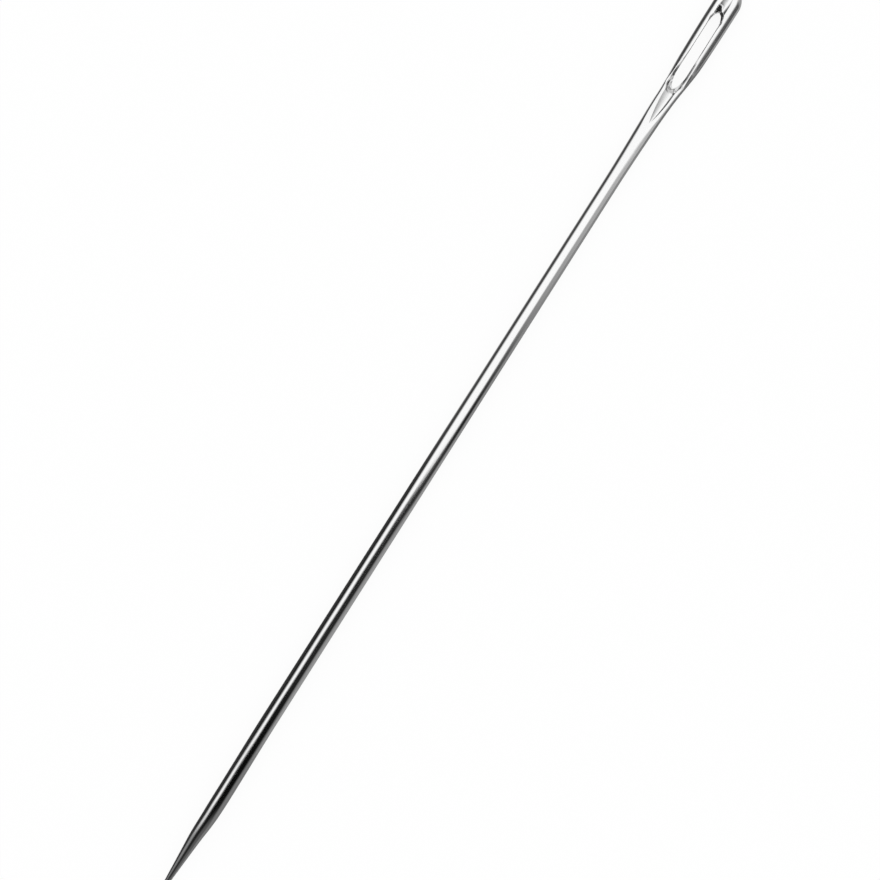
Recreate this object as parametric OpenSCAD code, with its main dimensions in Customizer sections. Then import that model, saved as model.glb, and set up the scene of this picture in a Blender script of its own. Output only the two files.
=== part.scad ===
// Yarn needle: one length of round steel wire with a long pressed eye and a ground point.
// The one piece of wire is written as two solids, the pressed head and the round shank with its point.
// They meet face to face in the plane where the wire is round again, so that each is a simple shape.
// It lies flat along X, eye end at -X and point at +X, resting on the plane z = 0.
// The eye goes through along Z. Distances called u run along the needle from the end of the head.

/* [Wire] */
// Whole length, from the rounded end of the head to the tip of the point
needle_l = 127; // [100:1:160]
// Diameter of the round wire
shank_d = 1.83; // [1.5:0.01:2.3]

/* [Point] */
// Length of the ground point
point_l = 14; // [8:0.5:25]
// Length over which the round wire turns smoothly into the straight taper
shoulder_l = 5; // [1:0.5:7]
// Radius of the rounded tip
tip_r = 0.08; // [0.03:0.01:0.2]

/* [Head] */
// Width of the pressed head across the eye
head_w = 3.29; // [2.9:0.01:4.2]
// Thickness of the pressed head
head_t = 1.55; // [1.1:0.01:1.8]
// Length of the pressed head, from its end to where the wire is round again
head_l = 30; // [24:0.5:38]
// Length of the rounded end of the head
head_end_l = 2.2; // [1:0.1:3]
// Width of the round edge on each side of the flats
head_edge = 0.85; // [0.6:0.01:1]
// Extra width that opening the eye adds to each side of the head
eye_swell = 0.2; // [0:0.01:0.3]
// Distance over which that extra width fades out past the eye
swell_fade = 6; // [4:0.5:8]
// How far the head sits to one side of the shank's axis
head_shift = 0.26; // [0:0.01:0.3]

/* [Eye] */
// Length of the eye
eye_l = 11.3; // [9:0.1:14]
// Width of the eye
eye_w = 1.34; // [1:0.01:1.6]
// Metal left between the eye and the end of the head
eye_end_gap = 3.5; // [3:0.1:5]
// How far the eye sits to one side of the shank's axis
eye_shift = 0.13; // [0:0.01:0.25]
// Width of the bevel round the eye's rim
eye_bevel = 0.14; // [0.05:0.01:0.2]
// Depth of the bevel round the eye's rim
eye_bevel_depth = 0.14; // [0.1:0.01:0.4]

/* [Gutters] */
// Length of the gutter that runs from the eye towards the point
low_gutter_l = 5.2; // [3:0.1:7]
// Length of the gutter that runs from the eye towards the end of the head
top_gutter_l = 3.1; // [2:0.1:3.5]
// Width of both gutters at the eye
gutter_w = 1.2; // [0.8:0.01:1.5]
// Depth of both gutters at the eye
gutter_depth = 0.32; // [0.2:0.01:0.5]
// How far the gutter towards the point sits to one side of the shank's axis
low_gutter_shift = 0.05; // [0:0.01:0.2]

/* [Hidden] */

// Roundness of the turned surfaces
$fn = 96;
// Sides of the pressed head's section
head_sides = 48;
// Rings round the rounded end, and between it and the round wire
end_rings = 8;
head_rings = 30;
// Steps along the shoulder and round the tip
shoulder_steps = 10;
tip_steps = 5;
// Length by which a cutter runs past the face that it starts from
past = 0.5;

shank_r = shank_d / 2;
// Height of the shank's axis, so that the thicker of shank and head rests on z = 0
axis_z = max(shank_d, head_t) / 2;
// Places along X
head_x = -needle_l / 2;
tip_x = needle_l / 2;
// Distances u of the eye's two ends
eye_u0 = eye_end_gap;
eye_u1 = eye_end_gap + eye_l;
// The extra width round the eye starts to fade before the eye ends
swell_u = eye_u1 - 0.7 * swell_fade;
// The flats stay parallel as far as the middle of the eye
flat_u = (eye_u0 + eye_u1) / 2;

// Smooth step from 0 to 1 while x goes from a to b
function ease(x, a, b) = let (t = min(max((x - a) / (b - a), 0), 1)) t * t * (3 - 2 * t);

// Height of a quarter ellipse of height 1 at the share x of its length
function quarter(x) = sqrt(1 - pow(1 - min(x, 1), 2));

// Half-width of the head's plain outline at u, before its end is rounded
function side_w(u) =
    shank_r
    + (head_w / 2 - eye_swell - shank_r) * (1 - ease(u, eye_u0, head_l))
    + eye_swell * (1 - ease(u, swell_u, swell_u + swell_fade));

// Half-width, half-thickness, width of the round edge, and sideways shift of the section at u
function half_w(u) = side_w(u) * quarter(u / head_end_l);
function half_t(u) =
    (shank_r + (head_t / 2 - shank_r) * (1 - ease(u, flat_u, head_l))) * quarter(u / head_edge);
function edge_w(u) = min(half_w(u), head_edge + (shank_r - head_edge) * ease(u, flat_u, head_l));
function shift(u) = head_shift * (1 - ease(u, swell_u, swell_u + 1.5 * swell_fade));

// One section of the head: two flats joined by round edges
function ring(u) =
    let (w = half_w(u), t = half_t(u), e = min(edge_w(u), w))
    [for (i = [0:head_sides - 1])
        let (a = 360 * (i + 0.5) / head_sides)
        [head_x + u, shift(u) + sign(cos(a)) * (w - e) + e * cos(a), axis_z + t * sin(a)]];

// The pressed head without its eye, a loft through its sections
module head_blank() {
    end_us = [for (i = [1:end_rings]) head_end_l * (1 - cos(90 * (i - 0.5) / end_rings))];
    body_us = [for (i = [1:head_rings]) head_end_l + (head_l - head_end_l) * i / head_rings];
    us = concat(end_us, body_us);
    last = len(us) - 1;
    n = head_sides;
    points = [for (u = us) each ring(u)];
    sides = [for (k = [0:last - 1], i = [0:n - 1])
        let (j = (i + 1) % n)
        each [
            [k * n + i, (k + 1) * n + i, (k + 1) * n + j],
            [k * n + i, (k + 1) * n + j, k * n + j],
        ]];
    first_cap = [[for (i = [0:n - 1]) i]];
    last_cap = [[for (i = [0:n - 1]) last * n + n - 1 - i]];
    polyhedron(points = points, faces = concat(first_cap, sides, last_cap));
}

// Cutter for the through hole of the eye, a slot with round ends
module eye_hole() {
    r = eye_w / 2;
    translate([head_x, eye_shift, -past])
        linear_extrude(2 * (axis_z + past)) {
            translate([eye_u0 + r, -r]) square([eye_l - eye_w, eye_w]);
            for (u = [eye_u0 + r, eye_u1 - r])
                translate([u, 0]) circle(r);
        }
}

// Cutter for the bevel round the eye's rim on the upper face. It starts deeper, inside the hole
module eye_rim() {
    slope = eye_bevel / eye_bevel_depth;
    face_r = eye_w / 2 + eye_bevel;
    start = 1.2 * eye_bevel_depth;
    hull()
        for (u = [eye_u0 + eye_w / 2, eye_u1 - eye_w / 2])
            translate([head_x + u, eye_shift, axis_z + head_t / 2 - start])
                cylinder(
                    h = start + past,
                    r1 = face_r - slope * start,
                    r2 = face_r + slope * past,
                    $fn = 32
                );
}

// Cutter for one V-shaped gutter on the upper face. Its valley leaves the eye at u, at full depth, and
// climbs to the surface over the length l. way is 1 towards the point and -1 towards the head's end
module gutter(u, l, y, way) {
    valley_t = head_t / 2 - gutter_depth;
    climb = atan((half_t(u + way * l) - valley_t) / l);
    tall = 2 * shank_r;
    wide = tall * gutter_w / 2 / gutter_depth;
    translate([head_x + u, y, axis_z + valley_t])
        rotate([0, 0, way > 0 ? 0 : 180])
            rotate([90, 0, 90])
                rotate([-climb, 0, 0])
                    translate([0, 0, -eye_w / 2])
                        linear_extrude(l / cos(climb) + eye_w)
                            polygon([[0, 0], [wide, tall], [-wide, tall]]);
}

// Everything that is cut from the upper face
module face_cuts() {
    eye_rim();
    gutter(eye_u1, low_gutter_l, low_gutter_shift, 1);
    gutter(eye_u0, top_gutter_l, eye_shift, -1);
}

// The pressed head with its eye, whose lower face is cut as its upper one is
module head() {
    color("silver")
        difference() {
            head_blank();
            eye_hole();
            face_cuts();
            translate([0, 0, 2 * axis_z]) mirror([0, 0, 1]) face_cuts();
        }
}

// Round shank and ground point, turned about the needle's axis
module shank() {
    // Distance from the tip to the corner between the straight taper and the wire
    corner = point_l - shoulder_l / 2;
    reach = shoulder_l / 2;
    // Half-angle of the taper, which leaves the round tip along its tangent
    taper = atan(shank_r / (corner - tip_r))
        - asin(tip_r / sqrt(pow(corner - tip_r, 2) + pow(shank_r, 2)));
    on_wire = [shank_r, corner + reach];
    at_corner = [shank_r, corner];
    on_taper = [shank_r - reach * sin(taper), corner - reach * cos(taper)];
    shoulder = [for (i = [0:shoulder_steps])
        let (t = i / shoulder_steps)
        pow(1 - t, 2) * on_wire + 2 * t * (1 - t) * at_corner + t * t * on_taper];
    tip = [for (i = [0:tip_steps])
        let (a = (90 - taper) * (1 - i / tip_steps))
        [tip_r * sin(a), tip_r * (1 - cos(a))]];
    start = [[0, needle_l - head_l], [shank_r, needle_l - head_l]];
    // Radius and distance from the tip, from the head to the tip
    outline = concat(start, shoulder, tip);
    color("silver")
        translate([tip_x, 0, axis_z])
            rotate([0, 90, 0])
                rotate_extrude()
                    polygon([for (p = outline) [p[0], -p[1]]]);
}

head();
shank();
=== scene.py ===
import math

import bmesh
import bpy
import numpy as np
from mathutils import Matrix, Vector

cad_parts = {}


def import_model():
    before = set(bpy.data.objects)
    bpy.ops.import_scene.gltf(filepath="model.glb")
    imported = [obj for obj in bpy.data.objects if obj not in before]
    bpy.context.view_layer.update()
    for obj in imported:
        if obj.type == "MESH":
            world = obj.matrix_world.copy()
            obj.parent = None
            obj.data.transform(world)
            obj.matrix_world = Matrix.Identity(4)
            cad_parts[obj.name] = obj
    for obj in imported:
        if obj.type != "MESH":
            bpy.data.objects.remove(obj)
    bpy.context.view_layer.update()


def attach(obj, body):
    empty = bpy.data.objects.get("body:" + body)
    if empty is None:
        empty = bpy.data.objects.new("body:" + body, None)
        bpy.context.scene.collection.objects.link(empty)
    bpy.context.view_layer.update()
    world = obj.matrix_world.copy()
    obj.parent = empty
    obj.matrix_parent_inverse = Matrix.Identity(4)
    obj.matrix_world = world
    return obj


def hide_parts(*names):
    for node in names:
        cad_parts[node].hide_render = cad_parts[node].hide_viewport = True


# Lengths are in millimetres up to the point where a mesh is made. The distance u runs along the needle
# from the end of its head. Left is -Y and right is +Y, as the camera sees them
MM = 0.001

# The needle, as in the CAD model. Its head is a hair narrower, so that this finer mesh, whose outline
# has no corners, stays inside the CAD model's box
NEEDLE_L = 127.0
SHANK_R = 0.915
POINT_L = 14.0
SHOULDER_L = 5.0
TIP_R = 0.08
HEAD_W = 3.284
HEAD_T = 1.55
HEAD_L = 30.0
HEAD_END_L = 2.2
HEAD_EDGE = 0.85
EYE_SWELL = 0.2
SWELL_FADE = 6.0
HEAD_SHIFT = 0.26
AXIS_Z = max(SHANK_R, HEAD_T / 2)
HEAD_X = -NEEDLE_L / 2
# Where the head starts to narrow, where its extra width starts to fade, and where it starts to thicken
NARROW_U = 3.6
SWELL_U = 10.6
FLAT_U = 9.2
# Depth of the tiny flat face at the very end of the head
END_FACE = 0.012
# Width of the round edge of the pressed part on each side, at places along the needle. From the last
# place on, the section is round
EDGE_U = (9.0, 12.4, 13.7, 14.6, 15.6, 17.5, 19.4, 20.3, 21.4, 22.8, 24.5)
EDGE_RIGHT = (0.85, 0.66, 0.42, 0.29, 0.34, 0.4, 0.5, 0.62, 0.76, 0.9, 0.97)
EDGE_LEFT = (0.8, 0.56, 0.3, 0.16, 0.33, 0.38, 0.42, 0.5, 0.72, 0.95, 0.98)
# Sideways bow of the ground point: how far, and the stretches over which it comes and goes
BOW = 0.1
BOW_START = (103, 114)
BOW_END = (115, 118.5)

# The eye in the middle plane: its two ends, half its width, its place across, and the length and
# roundness of its ends
EYE_U0 = 3.6
EYE_U1 = 14.85
EYE_R = 0.67
EYE_SHIFT = 0.13
TOP_END = 1.4
LOW_END = 1.9
TOP_ROUND = 1.7
LOW_ROUND = 1.9
# Width of the rim along the eye's two rails, at places along the needle
RIM_U = (4.9, 5.6, 6.4, 9.5, 11.3, 12.3, 13.0)
RIM_RIGHT = (0.3, 0.17, 0.13, 0.19, 0.33, 0.35, 0.35)
RIM_LEFT = (0.24, 0.12, 0.09, 0.09, 0.2, 0.33, 0.36)
# Depth of the rim as a share of its width. Towards the point the rim grows a little deeper and flatter,
# and less deep again in the eye's corners
RIM_DROP = 0.55
RIM_LOW_U = (8.5, 11)
RIM_LOW_DEEPER = 0.07
RIM_CORNER_U = (12.9, 13.8)
RIM_CORNER_RIGHT = 0.02
RIM_CORNER_LEFT = 0.3
RIM_POWER = 2.0
RIM_LOW_FLATTER = 0.75
# The rim is no wider than this share of the way to the outline, and no deeper than this of the wall
RIM_MOST = 0.6
# At each end of the eye the rim is a long sill, which takes nearly the whole height of the wall: its
# length, and how fast it turns into the rim beside it
SILL_TOP = 0.1
SILL_LOW = 1.15
SILL_TOP_POWER = 2.5
SILL_LOW_POWER = 4.0
SILL_DROP = 0.96

# Gutter towards the point: where it starts, starts to narrow and runs out, its place across where it
# runs out and how much further right it is where it is wide, half its width on each side, how each side
# curves, and its depth
LOW_GUTTER_START = (13.4, 14.6)
LOW_GUTTER_U = 15.5
LOW_GUTTER_END = 20.7
LOW_GUTTER_LEAST = 0.01
LOW_GUTTER_Y = (0.02, 0.42)
LOW_GUTTER_LEFT = 1.03
LOW_GUTTER_RIGHT = 0.3
LOW_GUTTER_LEFT_POWER = 1.6
LOW_GUTTER_RIGHT_POWER = 1.25
LOW_GUTTER_D = 0.19
LOW_GUTTER_SOFT = 0.01
# Gutter towards the head's end: its place across, half its width on each side, how it widens towards
# the eye, how each side curves, its depth at places along the needle, and where it stops
TOP_GUTTER_Y = 0.28
TOP_GUTTER_LEFT = 0.8
TOP_GUTTER_RIGHT = 0.42
TOP_GUTTER_NARROW = 0.8
TOP_GUTTER_WIDEN_U = (1, 3)
TOP_GUTTER_LEFT_POWER = 1.3
TOP_GUTTER_RIGHT_POWER = 1.85
TOP_GUTTER_STRAIGHTER = 0.5
TOP_GUTTER_STRAIGHTER_U = (2.2, 3.2)
TOP_GUTTER_U = (0.8, 1.5, 2.2, 2.8, 3.6)
TOP_GUTTER_D = (0, 0.12, 0.17, 0.22, 0.27)
TOP_GUTTER_SOFT = 0.05
TOP_GUTTER_STOP = (3.9, 4.7)
# Two facets at the head's end of the eye: where they meet, then for each its way out of the eye, its
# height there and its slope. Together they are about as wide as the eye, and end in steep sides
FACET_AT = (3.48, 0.18)
FACETS = ((-0.9, -0.43, 0.2, 0.75), (-0.48, 0.877, 0.5, 3.0))
FACET_INSET = 0.1
FACET_SIDE_SLOPE = 10
# Height that no face reaches, for the places that have no facets
ABOVE_FACE = 1.0
# Least height of the face, as a share of the height without gutters
FACE_LEAST = 0.1

# The mesh: where the net round the eye hands over to plain rings, and its fineness
JOIN_U = 18.0
RING_HALF = 96
SIDE_FAN = 64
EYE_STEP = 0.09
END_FAN = 72
FACE_STEPS = 56
RIM_STEPS = 20
WALL_STEPS = 3
# Rings from the join on: the places between which they are evenly spread, and how many on each stretch.
# Close to the tip they close up
RING_AT = (JOIN_U, 21.5, HEAD_L, NEEDLE_L - POINT_L - 12, NEEDLE_L - 0.5)
RING_COUNTS = (80, 80, 150, 200)
TIP_RINGS = 14
TIP_CLOSE_UP = 1.5
# Distances in metres up to which points are merged, and edges count as nothing
MERGE = 1e-9
NOTHING = 1e-10

# The camera, as fitted to the photograph: its tilt from straight above, its distance from the point
# that it aims at, its focal length, the cosine and sine of its roll, and a shift of the picture, in
# pixels to the right and down
TILT = math.radians(12)
DISTANCE = 262.0
AIM = Vector((2.5, -0.64, 0.915))
LENS_PX = 2300.0
FRAME_PX = 880.0
SENSOR = 36.0
ROLL = (-0.5369, 0.8437)
NUDGE_PX = 0.56
CAM_BACK = Vector((math.sin(TILT), 0, math.cos(TILT)))
CAM_AT = AIM + CAM_BACK * DISTANCE

# The tent: a glowing half cylinder over the needle which only reflections show, its brightness painted
# band by band as the needle's reflections. Places are along X. Angles are in degrees from the tent's
# ridge, plus towards +Y. An edge's softness is half the width over which it fades.
# A stepped level is its first value and then, for each step, the change and where it starts and ends.
# The mesh of the tent is finer where the needle reflects it: stretches along X with their counts
TENT_R = 100.0
TENT_X = ((-600, -172, 60), (-170, 150, 321), (152, 600, 60))
TENT_PHI = (-92, 92, 185)
# Level of the painted white in the reflections
PAINTED_WHITE_LEVEL = 1.1
# Near the point the painted bands lie further to the left
HANG = 13
HANG_AT = (42, 47)
# Painted grey band on the right of the painted white
GREY_LEVEL = (0.5, (-0.1, -37, -27), (-0.27, -26, -4), (0.15, 6, 14), (-0.08, 34, 40))
GREY_EDGE_AT = (-95, -70, -50, -46, -41, -35, -14, -6, 0, 5)
GREY_EDGE = (50, 24, 24, 58, 46, 28, 26, 32, 32, 20)
GREY_SOFT_AT = (-50, -46, -40, -34)
GREY_SOFT = (16, 34, 24, 10)
# Beside the eye that band holds painted shade. The painted shade ends later low down, and is less deep
# far out
SHADE_LEVEL = 0.18
SHADE_END = (-49.5, -46)
SHADE_LATE = 2.5
SHADE_LATE_PHI = (45, 70)
SHADE_START = (-85, -68)
SHADE_OUT_LEVEL = 0.6
# Painted grey band at the tent's lower edge, lowest on the right
HEM_LEVEL = (0.24, (0.1, 6, 14), (-0.12, 36, 42))
HEM_EDGE = (92, 8)
# Painted dark band low on the left
DARK_LEVEL = (0.05, (-0.035, -5, 15))
DARK_EDGE_AT = (-52, -46, -38, -24, -12, 2, 11, 25, 38)
DARK_EDGE = (-55, -76, -69, -66, -64, -62, -57, -54, -50)
DARK_SOFT = 16
# Painted narrow black band on the right, over the middle of the needle, with two thin places
NARROW_LEVEL = 0.006
NARROW_START = (-12.6, -11.8)
NARROW_END = (11, 13)
NARROW_COVER = (0.55, (0.45, -9, -2))
NARROW_THIN_AT = (2.6, 4.2, 5.3, 6.4, 7.6, 8.9)
NARROW_THIN = (1, 0.6, 0.85, 0.85, 0.6, 1)
NARROW_EDGES = ((46, 9), (80, 12))
# Painted wide black band over the point's half, whose left edge is wavy
WIDE_START = (4, 10.2)
WIDE_LEVEL_AT = (12, 34, 39, 45)
WIDE_LEVEL = (0.018, 0.018, 0.005, 0.002)
WIDE_LEFT_AT = (9, 14, 34, 38, 43)
WIDE_LEFT = (-4, -11, -12, -14, -17)
WIDE_LEFT_SOFT = 14
WIDE_WAVE = 4
WIDE_WAVE_AT = 13.7
WIDE_WAVE_L = 8.5
WIDE_RIGHT_AT = (34, 40)
WIDE_RIGHT = (63, 70)
WIDE_RIGHT_SOFT = 15
# Beyond the point the tent is painted dark, with one paler painted strip on the left and paler low down
# on the right. Further out the strip is darker and the rest a little paler
CLOSED_AT = (48, 68)
CLOSED_OUT = (71, 76)
CLOSED_LEVEL = (0.012, (0.025, *CLOSED_OUT))
STRIP_LEVEL = (0.24, (-0.144, *CLOSED_OUT))
STRIP_PHI = -38
STRIP_EDGE = (24, 18)
CLOSED_RIGHT = ((0.09, 38, 14), (0.18, 95, 16))
# Behind the head's end the tent's levels drop into painted half shade
HALF_SHADE_LEVEL = 0.62
HALF_SHADE_AT = (-150, -125)

# The sheets on the floor, which only reflections show, glow with painted shade for the needle's edges:
# how high they lie, the nearest place beside the needle's axis, and the places of their mesh along X
# and away from the axis, first evenly spread and then further and further apart
CARD_Z = 0.03
CARD_NEAR = 1.2
CARD_X = (-220, 200, 211)
CARD_EVEN = (CARD_NEAR, 4, 29)
CARD_WIDENING = (4.2, 100, 30)
# Right card: painted shade of the floor beside the needle, as the needle's right edge reflects it
RIGHT_CARD_AT = (-57, -53, -46, -42, -38, -4, 6, 38, 46)
RIGHT_CARD = (0.35, 0.16, 0.16, 0.22, 0.26, 0.26, 0.33, 0.33, 0.2)
# Left card, a painted dark reflection for the needle's left edge: its own level, and two paler painted
# bands close to the needle, which fade towards the point
LEFT_CARD_AT = (-10, 10)
LEFT_CARD = (0.05, 0.03)
LEFT_FADE_AT = (-8, 8)
LEFT_FADE = (1.0, 0.1)
LEFT_BANDS = ((0.1, 3, 7), (0.8, 1.5, 2.5))
# Card under the eye, with painted shade towards the head's end
EYE_CARD_X = (-64, -46, 91)
EYE_CARD_Y = (-CARD_NEAR, CARD_NEAR, 9)
EYE_CARD_LEVEL = (0.04, (0.92, -58.5, -56))

# The floor: its half size, its colour, and how much of it reflections and the camera see as plain white
FLOOR_HALF = 2500
FLOOR_COLOR = (0.96, 0.96, 0.96, 1)
FLOOR_WHITE = 0.91

# The nickel: stretch of its polishing lines and of the slow unevenness of the drawn wire, as noise
# cells per metre, and the ranges of its tone and roughness
LINES_SCALE = (60, 14000, 14000)
LINES_DETAIL = 3.0
WAVES_SCALE = (90, 500, 500)
WAVES_DETAIL = 2.0
TONE = (0.83, 0.9)
ROUGHNESS = (0.1, 0.17)
BUMP_STRENGTH = 0.12
BUMP_DISTANCE = 0.00001


def ease(x, a, b):
    """Smooth step from 0 to 1 while x goes from a to b."""
    t = np.clip((x - a) / (b - a), 0, 1)
    return t * t * (3 - 2 * t)


def smooth(v, edge, soft):
    """0 below the edge, 1 above it, with a soft step between."""
    return ease(v, edge - soft, edge + soft)


def stepped(x, level, *steps):
    """A level that changes by each step's amount while x goes from the step's start to its end."""
    for change, a, b in steps:
        level = level + change * ease(x, a, b)
    return level


def curve(x, places, values):
    """Smooth curve through the values at the places, level beyond both ends and never overshooting."""
    p, v = np.asarray(places, float), np.asarray(values, float)
    gap = np.diff(p)
    rise = np.diff(v) / gap
    slope = np.zeros(len(p))
    for k in range(1, len(p) - 1):
        if rise[k - 1] * rise[k] > 0:
            slope[k] = 2 * rise[k - 1] * rise[k] / (rise[k - 1] + rise[k])
    x = np.clip(x, p[0], p[-1])
    k = np.clip(np.searchsorted(p, x, side="right") - 1, 0, len(p) - 2)
    t = (x - p[k]) / gap[k]
    fall = (1 - t) ** 2
    return (
        v[k] * fall * (1 + 2 * t)
        + v[k + 1] * t * t * (3 - 2 * t)
        + gap[k] * (slope[k] * t * fall - slope[k + 1] * t * t * (1 - t))
    )


def quarter(x):
    """Height of a quarter circle of radius 1 at the share x of its length."""
    return np.sqrt(1 - (1 - np.clip(x, 0, 1)) ** 2)


def side_w(u):
    """Half-width of the head's plain outline, before its end is rounded."""
    plain = (HEAD_W / 2 - EYE_SWELL - SHANK_R) * (1 - ease(u, NARROW_U, HEAD_L))
    return SHANK_R + plain + EYE_SWELL * (1 - ease(u, SWELL_U, SWELL_U + SWELL_FADE))


def half_w(u):
    return side_w(u) * quarter(u / HEAD_END_L)


def half_t(u):
    flat = (HEAD_T / 2 - SHANK_R) * (1 - ease(u, FLAT_U, HEAD_L))
    return (SHANK_R + flat) * quarter(u / HEAD_EDGE)


def edge_w(u, right):
    """Width of the round edge on one side."""
    return np.where(right, curve(u, EDGE_U, EDGE_RIGHT), curve(u, EDGE_U, EDGE_LEFT))


def shift(u):
    """How far the section sits to one side of the shank's axis."""
    return HEAD_SHIFT * (1 - ease(u, SWELL_U, SWELL_U + 1.5 * SWELL_FADE))


def blank_height(u, y):
    """Half-thickness of the head at a place in its plan, without the gutters."""
    w, off = half_w(u), y - shift(u)
    e = np.where(u > EDGE_U[-1], w, np.minimum(edge_w(u, off > 0), w))
    e = np.maximum(e, 1e-6)
    out = np.clip((np.abs(off) - (w - e)) / e, 0, 1)
    return half_t(u) * np.sqrt(1 - out * out)


def trough(depth, soft):
    """Keeps the part of a gutter that lies below the face, with a soft edge."""
    return (depth + np.sqrt(depth * depth + soft * soft)) / 2


def low_gutter(u, y):
    """Depth of the gutter towards the point: a trough that narrows to nothing, steeper on its right."""
    narrow = 1 - np.clip((u - LOW_GUTTER_U) / (LOW_GUTTER_END - LOW_GUTTER_U), 0, 1) ** 2
    off = (y - LOW_GUTTER_Y[0] - LOW_GUTTER_Y[1] * narrow) / np.maximum(narrow, LOW_GUTTER_LEAST)
    left = np.abs(off / LOW_GUTTER_LEFT) ** LOW_GUTTER_LEFT_POWER
    right = np.abs(off / LOW_GUTTER_RIGHT) ** LOW_GUTTER_RIGHT_POWER
    depth = LOW_GUTTER_D * narrow * (1 - np.where(off > 0, right, left))
    return trough(depth, LOW_GUTTER_SOFT * narrow) * ease(u, *LOW_GUTTER_START)


def top_gutter(u, y):
    """Depth of the gutter towards the head's end, steeper on its right."""
    off = y - TOP_GUTTER_Y
    on_right = off > 0
    widen = TOP_GUTTER_NARROW + (1 - TOP_GUTTER_NARROW) * ease(u, *TOP_GUTTER_WIDEN_U)
    off = off / np.where(on_right, TOP_GUTTER_RIGHT, TOP_GUTTER_LEFT) / widen
    right_power = TOP_GUTTER_RIGHT_POWER - TOP_GUTTER_STRAIGHTER * ease(u, *TOP_GUTTER_STRAIGHTER_U)
    power = np.where(on_right, right_power, TOP_GUTTER_LEFT_POWER)
    deep = curve(u, TOP_GUTTER_U, TOP_GUTTER_D)
    depth = deep * (1 - np.abs(off) ** power)
    return trough(depth, TOP_GUTTER_SOFT * deep) * (1 - ease(u, *TOP_GUTTER_STOP))


def facets(u, y):
    """Height of the facets, which lies above the face everywhere away from the eye's end."""
    height = FACET_SIDE_SLOPE * (np.abs(y - EYE_SHIFT) - EYE_R + FACET_INSET)
    for out_u, out_y, low, slope in FACETS:
        out = out_u * (u - FACET_AT[0]) + out_y * (y - FACET_AT[1])
        height = np.maximum(height, low + slope * out)
    return np.where(u > FLAT_U, ABOVE_FACE, height)


def face_height(u, y):
    """Height of the upper face above the middle plane, with both gutters and the facets."""
    h = blank_height(u, y)
    depth = np.where(u > FLAT_U, low_gutter(u, y), top_gutter(u, y))
    return np.maximum(np.minimum(h - depth, facets(u, y)), FACE_LEAST * h)


def ring_points(u):
    """A whole ring: upper half from +Y to -Y, then the lower half back."""
    a = np.linspace(0, 2 * math.pi, 2 * RING_HALF, endpoint=False)
    y = shift(u) + half_w(u) * np.cos(a)
    z = face_height(np.full_like(y, u), y)
    z = np.where(np.isclose(np.sin(a), 0), 0, z)
    return y, np.sign(np.round(np.sin(a), 9)) * z


def point_radius(v):
    """Radius at the distance v from the tip."""
    corner, reach = POINT_L - SHOULDER_L / 2, SHOULDER_L / 2
    back = corner - TIP_R
    taper = math.atan(SHANK_R / back) - math.asin(TIP_R / math.hypot(back, SHANK_R))
    touch_v = TIP_R * (1 - math.sin(taper))
    touch_r = TIP_R * math.cos(taper)
    cone = touch_r + (v - touch_v) * math.tan(taper)
    ball = np.sqrt(np.maximum(TIP_R**2 - (TIP_R - np.minimum(v, TIP_R)) ** 2, 0))
    r = np.where(v < touch_v, ball, cone)
    # Shoulder: a parabola that is tangent to the taper and to the wire
    start = corner - reach * math.cos(taper)
    r_start = SHANK_R - reach * math.sin(taper)
    q = np.clip((v - start) / (corner + reach - start), 0, 1)
    bend = r_start + (SHANK_R - r_start) * (2 * q - q * q)
    return np.where(v > start, bend, r)


def bow(u):
    """Sideways bow of the ground point, as on the needle in the photograph."""
    return BOW * ease(u, *BOW_START) * (1 - ease(u, *BOW_END))


def eye_loop():
    """Places on the eye's wall, and for each the place on the outline that its spoke runs to.

    The order starts at the axis on the point's side and goes round through +Y and the head's end.
    The last part of the outer line is the upper half of the ring at JOIN_U. Each spoke also has the
    width of the rim, and a share that is 1 at the middle of a sill and 0 along the rails."""
    c1, c0 = EYE_U1 - LOW_END, EYE_U0 + TOP_END
    half = RING_HALF // 2
    fan = half + SIDE_FAN
    ring_y, _ = ring_points(np.float64(JOIN_U))

    def outline(u, side):
        return float(shift(u) + side * half_w(u))

    def at_sill(share, radius, sill):
        return radius + (sill - radius) * share

    inner, outer, rim, sill = [], [], [], []
    for side, widths in ((1, RIM_RIGHT), (-1, RIM_LEFT)):
        rows = []
        # Half of the ring, from its middle outwards, then up the side
        for k in range(fan):
            a = 0.5 * math.pi * k / fan
            across = EYE_R * math.sin(a) ** (2 / LOW_ROUND)
            place = (c1 + LOW_END * math.cos(a) ** (2 / LOW_ROUND), side * across)
            share = math.cos(a) ** SILL_LOW_POWER
            width = at_sill(share, float(curve(c1, RIM_U, widths)), SILL_LOW)
            if k <= half:
                goal = (JOIN_U, float(ring_y[half - side * k]))
            else:
                u = JOIN_U + (c1 - JOIN_U) * (k - half) / SIDE_FAN
                goal = (u, outline(u, side))
            rows.append((place, goal, width, share))
        # The straight wall
        straight = int(round((c1 - c0) / EYE_STEP))
        for k in range(straight):
            u = c1 + (c0 - c1) * k / straight
            width = float(curve(u, RIM_U, widths))
            rows.append(((u, side * EYE_R), (u, outline(u, side)), width, 0.0))
        # Round the head's end
        for k in range(END_FAN // 2 + 1):
            a = 0.5 * math.pi * k / (END_FAN // 2)
            last = k == END_FAN // 2
            across = 0.0 if last else EYE_R * math.cos(a) ** (2 / TOP_ROUND)
            place = (c0 - TOP_END * math.sin(a) ** (2 / TOP_ROUND), side * across)
            share = math.sin(a) ** SILL_TOP_POWER
            width = at_sill(share, float(curve(c0, RIM_U, widths)), SILL_TOP)
            u = 0.0 if last else c0 * (1 - math.sin(a))
            rows.append((place, (u, outline(u, side)), width, share))
        if side < 0:
            rows = rows[1:-1][::-1]
        for place, goal, width, share in rows:
            inner.append((place[0], place[1] + EYE_SHIFT))
            outer.append(goal)
            rim.append(width)
            sill.append(share)
    return np.array(inner), np.array(outer), np.array(rim), np.array(sill)


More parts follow.
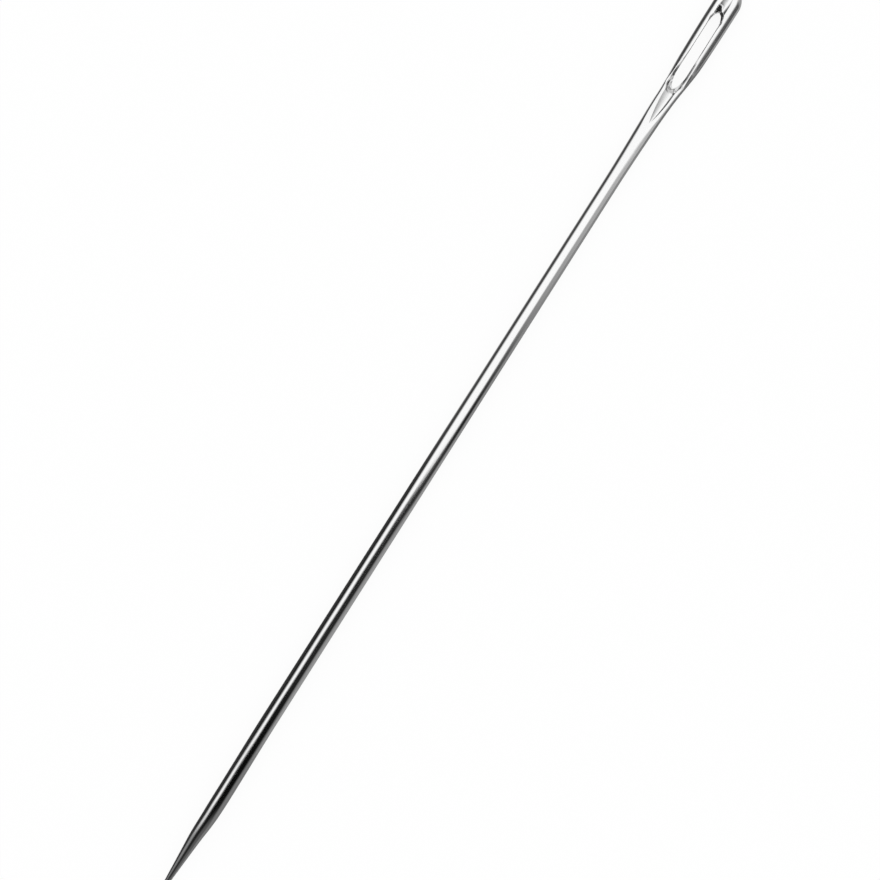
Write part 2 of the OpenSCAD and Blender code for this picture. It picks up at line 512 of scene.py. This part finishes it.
def upper_net():
    """Rows of points round the eye: up the wall from the middle plane, over the rim, to the outline."""
    inner, outer, rim, sill = eye_loop()
    length = np.linalg.norm(outer - inner, axis=1)
    direction = (outer - inner) / length[:, None]
    across = np.minimum(rim, RIM_MOST * length)
    # The rim runs square to the eye's outline, on the side where the spoke goes
    ahead, behind = np.roll(inner, -1, axis=0), np.roll(inner, 1, axis=0)
    tangent = (ahead - behind) / np.linalg.norm(ahead - behind, axis=1)[:, None]
    normal = np.column_stack([tangent[:, 1], -tangent[:, 0]])
    normal *= np.sign(np.sum(normal * direction, axis=1))[:, None]
    edge = inner + normal * across[:, None]
    # How much of the wall's height the rim takes: a little along the rails, nearly all of it at a sill
    wall_h = face_height(inner[:, 0], inner[:, 1])
    low = ease(inner[:, 0], *RIM_LOW_U) * (1 - sill)
    less = np.where(inner[:, 1] > EYE_SHIFT, RIM_CORNER_RIGHT, RIM_CORNER_LEFT)
    steep = RIM_DROP + RIM_LOW_DEEPER * low - ease(inner[:, 0], *RIM_CORNER_U) * less
    drop = np.minimum(steep * rim, RIM_MOST * wall_h) * (1 - sill) + SILL_DROP * wall_h * sill
    power = RIM_POWER - RIM_LOW_FLATTER * low
    rows = []
    for k in range(WALL_STEPS):
        rows.append(np.column_stack([inner, (wall_h - drop) * k / WALL_STEPS]))
    for k in range(RIM_STEPS):
        a = 0.5 * math.pi * k / RIM_STEPS
        place = inner + normal * (across * (1 - math.cos(a)))[:, None]
        h = face_height(place[:, 0], place[:, 1])
        rows.append(np.column_stack([place, h - drop * math.cos(a) ** power]))
    # Even steps to the ring, and steps that close up towards the silhouette, where the height is 0
    on_ring = np.isclose(outer[:, 0], JOIN_U)
    inside = np.abs(outer[:, 1] - shift(JOIN_U)) < half_w(JOIN_U) - 1e-9
    for k in range(FACE_STEPS + 1):
        v = k / FACE_STEPS
        share = np.where(on_ring, v, math.sin(0.5 * math.pi * v))
        place = edge + (outer - edge) * share[:, None]
        h = face_height(place[:, 0], place[:, 1])
        if k == FACE_STEPS:
            h = np.where(on_ring & inside, h, 0)
        rows.append(np.column_stack([place, h]))
    return np.stack(rows)


def net_quads(net, first, flip):
    """Faces of the net, whose rows close round the eye."""
    rows, n, _ = net.shape
    k = np.arange(n)
    faces = []
    for r in range(rows - 1):
        a, b = first + r * n + k, first + r * n + (k + 1) % n
        quads = np.column_stack([a, b, b + n, a + n])
        faces.append(quads[:, ::-1] if flip else quads)
    return faces


def rings():
    """Rings of points from the join to the last one before the tip."""
    stretches = zip(RING_AT, RING_AT[1:], RING_COUNTS)
    us = [np.linspace(a, b, n)[0 if a == JOIN_U else 1 :] for a, b, n in stretches]
    closing = (1 - np.linspace(0, 1, TIP_RINGS)[1:-1]) ** TIP_CLOSE_UP
    us.append(NEEDLE_L - (NEEDLE_L - RING_AT[-1]) * closing)
    count = 2 * RING_HALF
    a = np.linspace(0, 2 * math.pi, count, endpoint=False)
    points = []
    for u in np.concatenate(us):
        if u <= HEAD_L:
            y, z = ring_points(np.float64(u))
        else:
            r = float(point_radius(np.float64(NEEDLE_L - u)))
            y, z = r * np.cos(a), r * np.sin(a)
        points.append(np.column_stack([np.full(count, u), y + bow(u), z]))
    return np.stack(points)


def ring_quads(shank, first):
    count = shank.shape[1]
    k = np.arange(count)
    faces = []
    for r in range(len(shank) - 1):
        a, b = first + r * count + k, first + r * count + (k + 1) % count
        faces.append(np.column_stack([a, a + count, b + count, b]))
    return faces


def needle_mesh():
    upper = upper_net()
    lower = upper * (1, 1, -1)
    shank = rings()
    n, count = upper.shape[1], 2 * RING_HALF
    first_low = upper.shape[0] * n
    first_ring = 2 * first_low
    tip = first_ring + shank.shape[0] * count
    parts = [upper.reshape(-1, 3), lower.reshape(-1, 3), shank.reshape(-1, 3)]
    points = np.concatenate(parts + [[[NEEDLE_L, bow(NEEDLE_L), 0.0]]])
    points[:, 0] = np.maximum(points[:, 0], END_FACE) + HEAD_X
    points[:, 2] += AXIS_Z
    quads = net_quads(upper, 0, True) + net_quads(lower, first_low, False)
    quads = np.concatenate(quads + ring_quads(shank, first_ring))
    k = np.arange(count)
    last_ring = tip - count
    tris = np.column_stack([last_ring + k, np.full(count, tip), last_ring + (k + 1) % count])

    mesh = bpy.data.meshes.new("needle_polished")
    mesh.from_pydata((points * MM).tolist(), [], quads.tolist() + tris.tolist())
    obj = bpy.data.objects.new("needle_polished", mesh)
    bpy.context.scene.collection.objects.link(obj)
    # The halves share the middle plane, and the net shares the ring at JOIN_U
    bm = bmesh.new()
    bm.from_mesh(mesh)
    bmesh.ops.remove_doubles(bm, verts=bm.verts, dist=MERGE)
    bmesh.ops.dissolve_degenerate(bm, edges=bm.edges, dist=NOTHING)
    bmesh.ops.recalc_face_normals(bm, faces=bm.faces)
    for f in bm.faces:
        f.smooth = True
    open_edges = sum(1 for e in bm.edges if not e.is_manifold)
    print("needle mesh", len(bm.verts), "points", len(bm.faces), "faces, open edges", open_edges)
    bm.to_mesh(mesh)
    bm.free()
    return obj


def nickel():
    mat = bpy.data.materials.new("polished_nickel")
    mat.use_nodes = True
    nodes, links = mat.node_tree.nodes, mat.node_tree.links
    bsdf = nodes["Principled BSDF"]
    bsdf.inputs["Metallic"].default_value = 1.0
    coord = nodes.new("ShaderNodeTexCoord")

    def noise(scale, detail):
        """Noise that is stretched along the needle."""
        stretch = nodes.new("ShaderNodeMapping")
        stretch.inputs["Scale"].default_value = scale
        links.new(coord.outputs["Object"], stretch.inputs["Vector"])
        texture = nodes.new("ShaderNodeTexNoise")
        texture.inputs["Scale"].default_value = 1.0
        texture.inputs["Detail"].default_value = detail
        links.new(stretch.outputs["Vector"], texture.inputs["Vector"])
        return texture

    def ranged(texture, limits, socket):
        """Brings the noise into a range and sends it to one of the shader's sockets."""
        between = nodes.new("ShaderNodeMapRange")
        between.inputs["To Min"].default_value = limits[0]
        between.inputs["To Max"].default_value = limits[1]
        links.new(texture.outputs["Fac"], between.inputs["Value"])
        links.new(between.outputs["Result"], bsdf.inputs[socket])

    lines = noise(LINES_SCALE, LINES_DETAIL)
    ranged(noise(WAVES_SCALE, WAVES_DETAIL), TONE, "Base Color")
    ranged(lines, ROUGHNESS, "Roughness")
    bump = nodes.new("ShaderNodeBump")
    bump.inputs["Strength"].default_value = BUMP_STRENGTH
    bump.inputs["Distance"].default_value = BUMP_DISTANCE
    links.new(lines.outputs["Fac"], bump.inputs["Height"])
    links.new(bump.outputs["Normal"], bsdf.inputs["Normal"])
    return mat


def seen_from(x):
    """Place along the straight shank that reflects the tent at x towards the camera."""
    height = CAM_AT.z - AXIS_Z
    return (x * height + TENT_R * CAM_AT.x) / (height + TENT_R)


def painted_grey_band(seen, phi):
    """Painted grey band, whose level drops in painted shade beside the eye."""
    late = SHADE_LATE * ease(phi, *SHADE_LATE_PHI)
    out = SHADE_OUT_LEVEL * (1 - ease(seen, *SHADE_START))
    lit = np.maximum(ease(seen - late, *SHADE_END), out)
    level = stepped(seen, *GREY_LEVEL) * (SHADE_LEVEL + (1 - SHADE_LEVEL) * lit)
    edge = curve(seen, GREY_EDGE_AT, GREY_EDGE)
    return level, smooth(phi, edge, curve(seen, GREY_SOFT_AT, GREY_SOFT))


# Painted grey band at the tent's lower edge
def painted_hem_band(seen, phi):
    return stepped(seen, *HEM_LEVEL), smooth(phi, *HEM_EDGE)


# Painted dark band low on the left
def painted_dark_band(seen, phi):
    edge = curve(seen, DARK_EDGE_AT, DARK_EDGE)
    return stepped(seen, *DARK_LEVEL), 1 - smooth(phi, edge, DARK_SOFT)


# Painted narrow black band over the middle of the needle
def painted_narrow_band(seen, phi):
    part = ease(seen, *NARROW_START) * (1 - ease(seen, *NARROW_END))
    cover = stepped(seen, *NARROW_COVER) * curve(seen, NARROW_THIN_AT, NARROW_THIN)
    band = smooth(phi, *NARROW_EDGES[0]) * (1 - smooth(phi, *NARROW_EDGES[1]))
    return NARROW_LEVEL, part * cover * band


# Painted wide black band over the point's half
def painted_wide_band(seen, phi):
    wave = WIDE_WAVE * np.sin(2 * math.pi * (seen - WIDE_WAVE_AT) / WIDE_WAVE_L)
    left = curve(seen, WIDE_LEFT_AT, WIDE_LEFT) + wave
    right = curve(seen, WIDE_RIGHT_AT, WIDE_RIGHT)
    band = smooth(phi, left, WIDE_LEFT_SOFT) * (1 - smooth(phi, right, WIDE_RIGHT_SOFT))
    return curve(seen, WIDE_LEVEL_AT, WIDE_LEVEL), ease(seen, *WIDE_START) * band


# Painted dark end beyond the point, with a paler painted strip
def painted_closed_end(x, phi):
    strip = stepped(x, *STRIP_LEVEL) * (1 - smooth(np.abs(phi - STRIP_PHI), *STRIP_EDGE))
    level = stepped(x, *CLOSED_LEVEL) + strip
    for more, edge, soft in CLOSED_RIGHT:
        level = level + more * smooth(phi, edge, soft)
    return level, ease(x, *CLOSED_AT)


def glow(x, phi):
    """Painted brightness of the tent at x along it and the angle phi from its ridge, as the needle
    reflects it.

    Each painted band gives its level and its share of each place, and covers what comes before it."""
    seen = seen_from(x)
    phi = phi + HANG * ease(seen, *HANG_AT)
    bright = np.full_like(phi, PAINTED_WHITE_LEVEL)
    # Painted bands of the reflections, each over what comes before it
    painted_bands = [card(seen, phi) for card in (painted_grey_band, painted_hem_band, painted_dark_band, painted_narrow_band, painted_wide_band)]
    for level, share in painted_bands + [painted_closed_end(x, phi)]:
        bright = bright * (1 - share) + level * share
    # Painted half shade behind the head's end
    half_shade = 1 - ease(x, *HALF_SHADE_AT)
    return bright * (1 - half_shade) + np.minimum(bright, HALF_SHADE_LEVEL) * half_shade


def emitter(name):
    """Material that glows as the mesh's own attribute says."""
    mat = bpy.data.materials.new(name)
    mat.use_nodes = True
    nodes, links = mat.node_tree.nodes, mat.node_tree.links
    nodes.clear()
    out = nodes.new("ShaderNodeOutputMaterial")
    emit = nodes.new("ShaderNodeEmission")
    tone = nodes.new("ShaderNodeAttribute")
    tone.attribute_name = "glow"
    links.new(tone.outputs["Fac"], emit.inputs["Strength"])
    links.new(emit.outputs["Emission"], out.inputs["Surface"])
    return mat


def only_in_reflections(obj):
    obj.visible_camera = False
    obj.visible_diffuse = False
    obj.visible_shadow = False
    obj.visible_transmission = False
    obj.visible_volume_scatter = False


def sheet(name, x, y, z, level):
    """Glowing sheet over a grid of points, which only reflections show."""
    rows, cols = x.shape
    points = np.stack([x, y, z], -1).reshape(-1, 3) * MM
    i, j = np.meshgrid(np.arange(rows - 1), np.arange(cols - 1), indexing="ij")
    a = (i * cols + j).ravel()
    quads = np.column_stack([a, a + 1, a + cols + 1, a + cols])
    mesh = bpy.data.meshes.new(name)
    mesh.from_pydata(points.tolist(), [], quads.tolist())
    glowing = mesh.attributes.new("glow", "FLOAT", "POINT")
    glowing.data.foreach_set("value", level.ravel().astype(np.float32))
    obj = bpy.data.objects.new(name, mesh)
    bpy.context.scene.collection.objects.link(obj)
    mesh.materials.append(emitter(name))
    only_in_reflections(obj)


def tent():
    """Glowing half cylinder over the needle, which only reflections show, with its painted reflections.
    """
    xs = np.concatenate([np.linspace(*stretch) for stretch in TENT_X])
    x, phi = np.meshgrid(xs, np.linspace(*TENT_PHI), indexing="ij")
    y = TENT_R * np.sin(np.radians(phi))
    z = AXIS_Z + TENT_R * np.cos(np.radians(phi))
    sheet("painted_reflection_tent", x, y, z, glow(x, phi))


# Painted shade of the floor beside the needle's right edge
def painted_right_shade(x, y):
    return curve(x, RIGHT_CARD_AT, RIGHT_CARD)


# Painted dark reflection beside the needle's left edge, with paler painted bands
def painted_left_reflection(x, y):
    level = curve(x, LEFT_CARD_AT, LEFT_CARD)
    for more, a, b in LEFT_BANDS:
        level = level + more * curve(x, LEFT_FADE_AT, LEFT_FADE) * (1 - ease(y, a, b))
    return level


def painted_floor_card(name, side, level):
    """Glowing card on the floor beside the needle, painted as shade in the needle's edge reflections.
    """
    out = np.concatenate([np.linspace(*CARD_EVEN), np.geomspace(*CARD_WIDENING)])
    x, y = np.meshgrid(np.linspace(*CARD_X), out, indexing="ij")
    sheet(name, x, side * y, np.full_like(x, CARD_Z), level(x, y))


def painted_eye_card():
    """Glowing card on the floor under the eye, between the other two, with painted shade."""
    x, y = np.meshgrid(np.linspace(*EYE_CARD_X), np.linspace(*EYE_CARD_Y), indexing="ij")
    sheet("painted_card_eye", x, y, np.full_like(x, CARD_Z), stepped(x, *EYE_CARD_LEVEL))


def floor():
    """Pale floor. Camera and reflections see most of it as plain white, and it keeps a soft shadow."""
    size = FLOOR_HALF * MM
    corners = [(-size, -size, 0), (size, -size, 0), (size, size, 0), (-size, size, 0)]
    mesh = bpy.data.meshes.new("studio_floor")
    mesh.from_pydata(corners, [], [(0, 1, 2, 3)])
    obj = bpy.data.objects.new("studio_floor", mesh)
    bpy.context.scene.collection.objects.link(obj)
    mat = bpy.data.materials.new("white_floor")
    mat.use_nodes = True
    nodes, links = mat.node_tree.nodes, mat.node_tree.links
    nodes.clear()
    out = nodes.new("ShaderNodeOutputMaterial")
    paper = nodes.new("ShaderNodeBsdfDiffuse")
    paper.inputs["Color"].default_value = FLOOR_COLOR
    white = nodes.new("ShaderNodeEmission")
    white.inputs["Strength"].default_value = 1.0
    path = nodes.new("ShaderNodeLightPath")

    def math_node(operation, first):
        node = nodes.new("ShaderNodeMath")
        node.operation = operation
        links.new(first, node.inputs[0])
        return node

    seen = math_node("MAXIMUM", path.outputs["Is Camera Ray"])
    links.new(path.outputs["Is Glossy Ray"], seen.inputs[1])
    seen = math_node("MAXIMUM", seen.outputs[0])
    links.new(path.outputs["Is Transmission Ray"], seen.inputs[1])
    share = math_node("MULTIPLY", seen.outputs[0])
    share.inputs[1].default_value = FLOOR_WHITE
    mix = nodes.new("ShaderNodeMixShader")
    links.new(share.outputs[0], mix.inputs["Fac"])
    links.new(paper.outputs[0], mix.inputs[1])
    links.new(white.outputs[0], mix.inputs[2])
    links.new(mix.outputs[0], out.inputs["Surface"])
    mesh.materials.append(mat)


def world():
    w = bpy.data.worlds.new("soft_white")
    bpy.context.scene.world = w
    w.use_nodes = True
    back = w.node_tree.nodes["Background"]
    back.inputs["Color"].default_value = (1, 1, 1, 1)
    back.inputs["Strength"].default_value = 1.0


def camera():
    cam = bpy.data.cameras.new("camera")
    cam.sensor_width = SENSOR
    cam.lens = LENS_PX / FRAME_PX * SENSOR
    cam.clip_start = 0.01
    cam.clip_end = 20
    obj = bpy.data.objects.new("camera", cam)
    bpy.context.scene.collection.objects.link(obj)
    along = Vector((math.cos(TILT), 0, -math.sin(TILT)))
    across = Vector((0, 1, 0))
    right = along * ROLL[0] + across * ROLL[1]
    up = CAM_BACK.cross(right)
    m = Matrix.Identity(4)
    for i, axis in enumerate((right, up, CAM_BACK)):
        for k in range(3):
            m[k][i] = axis[k]
    m.translation = (CAM_AT + (up - right) * (NUDGE_PX * DISTANCE / LENS_PX)) * MM
    obj.matrix_world = m
    bpy.context.scene.camera = obj


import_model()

needle = needle_mesh()
needle.data.materials.append(nickel())
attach(needle, "root")
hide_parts("head", "shank")

floor()
tent()
painted_floor_card("painted_card_left", -1, painted_left_reflection)
painted_floor_card("painted_card_right", 1, painted_right_shade)
painted_eye_card()
world()
camera()
bpy.context.scene.view_settings.view_transform = "Standard"
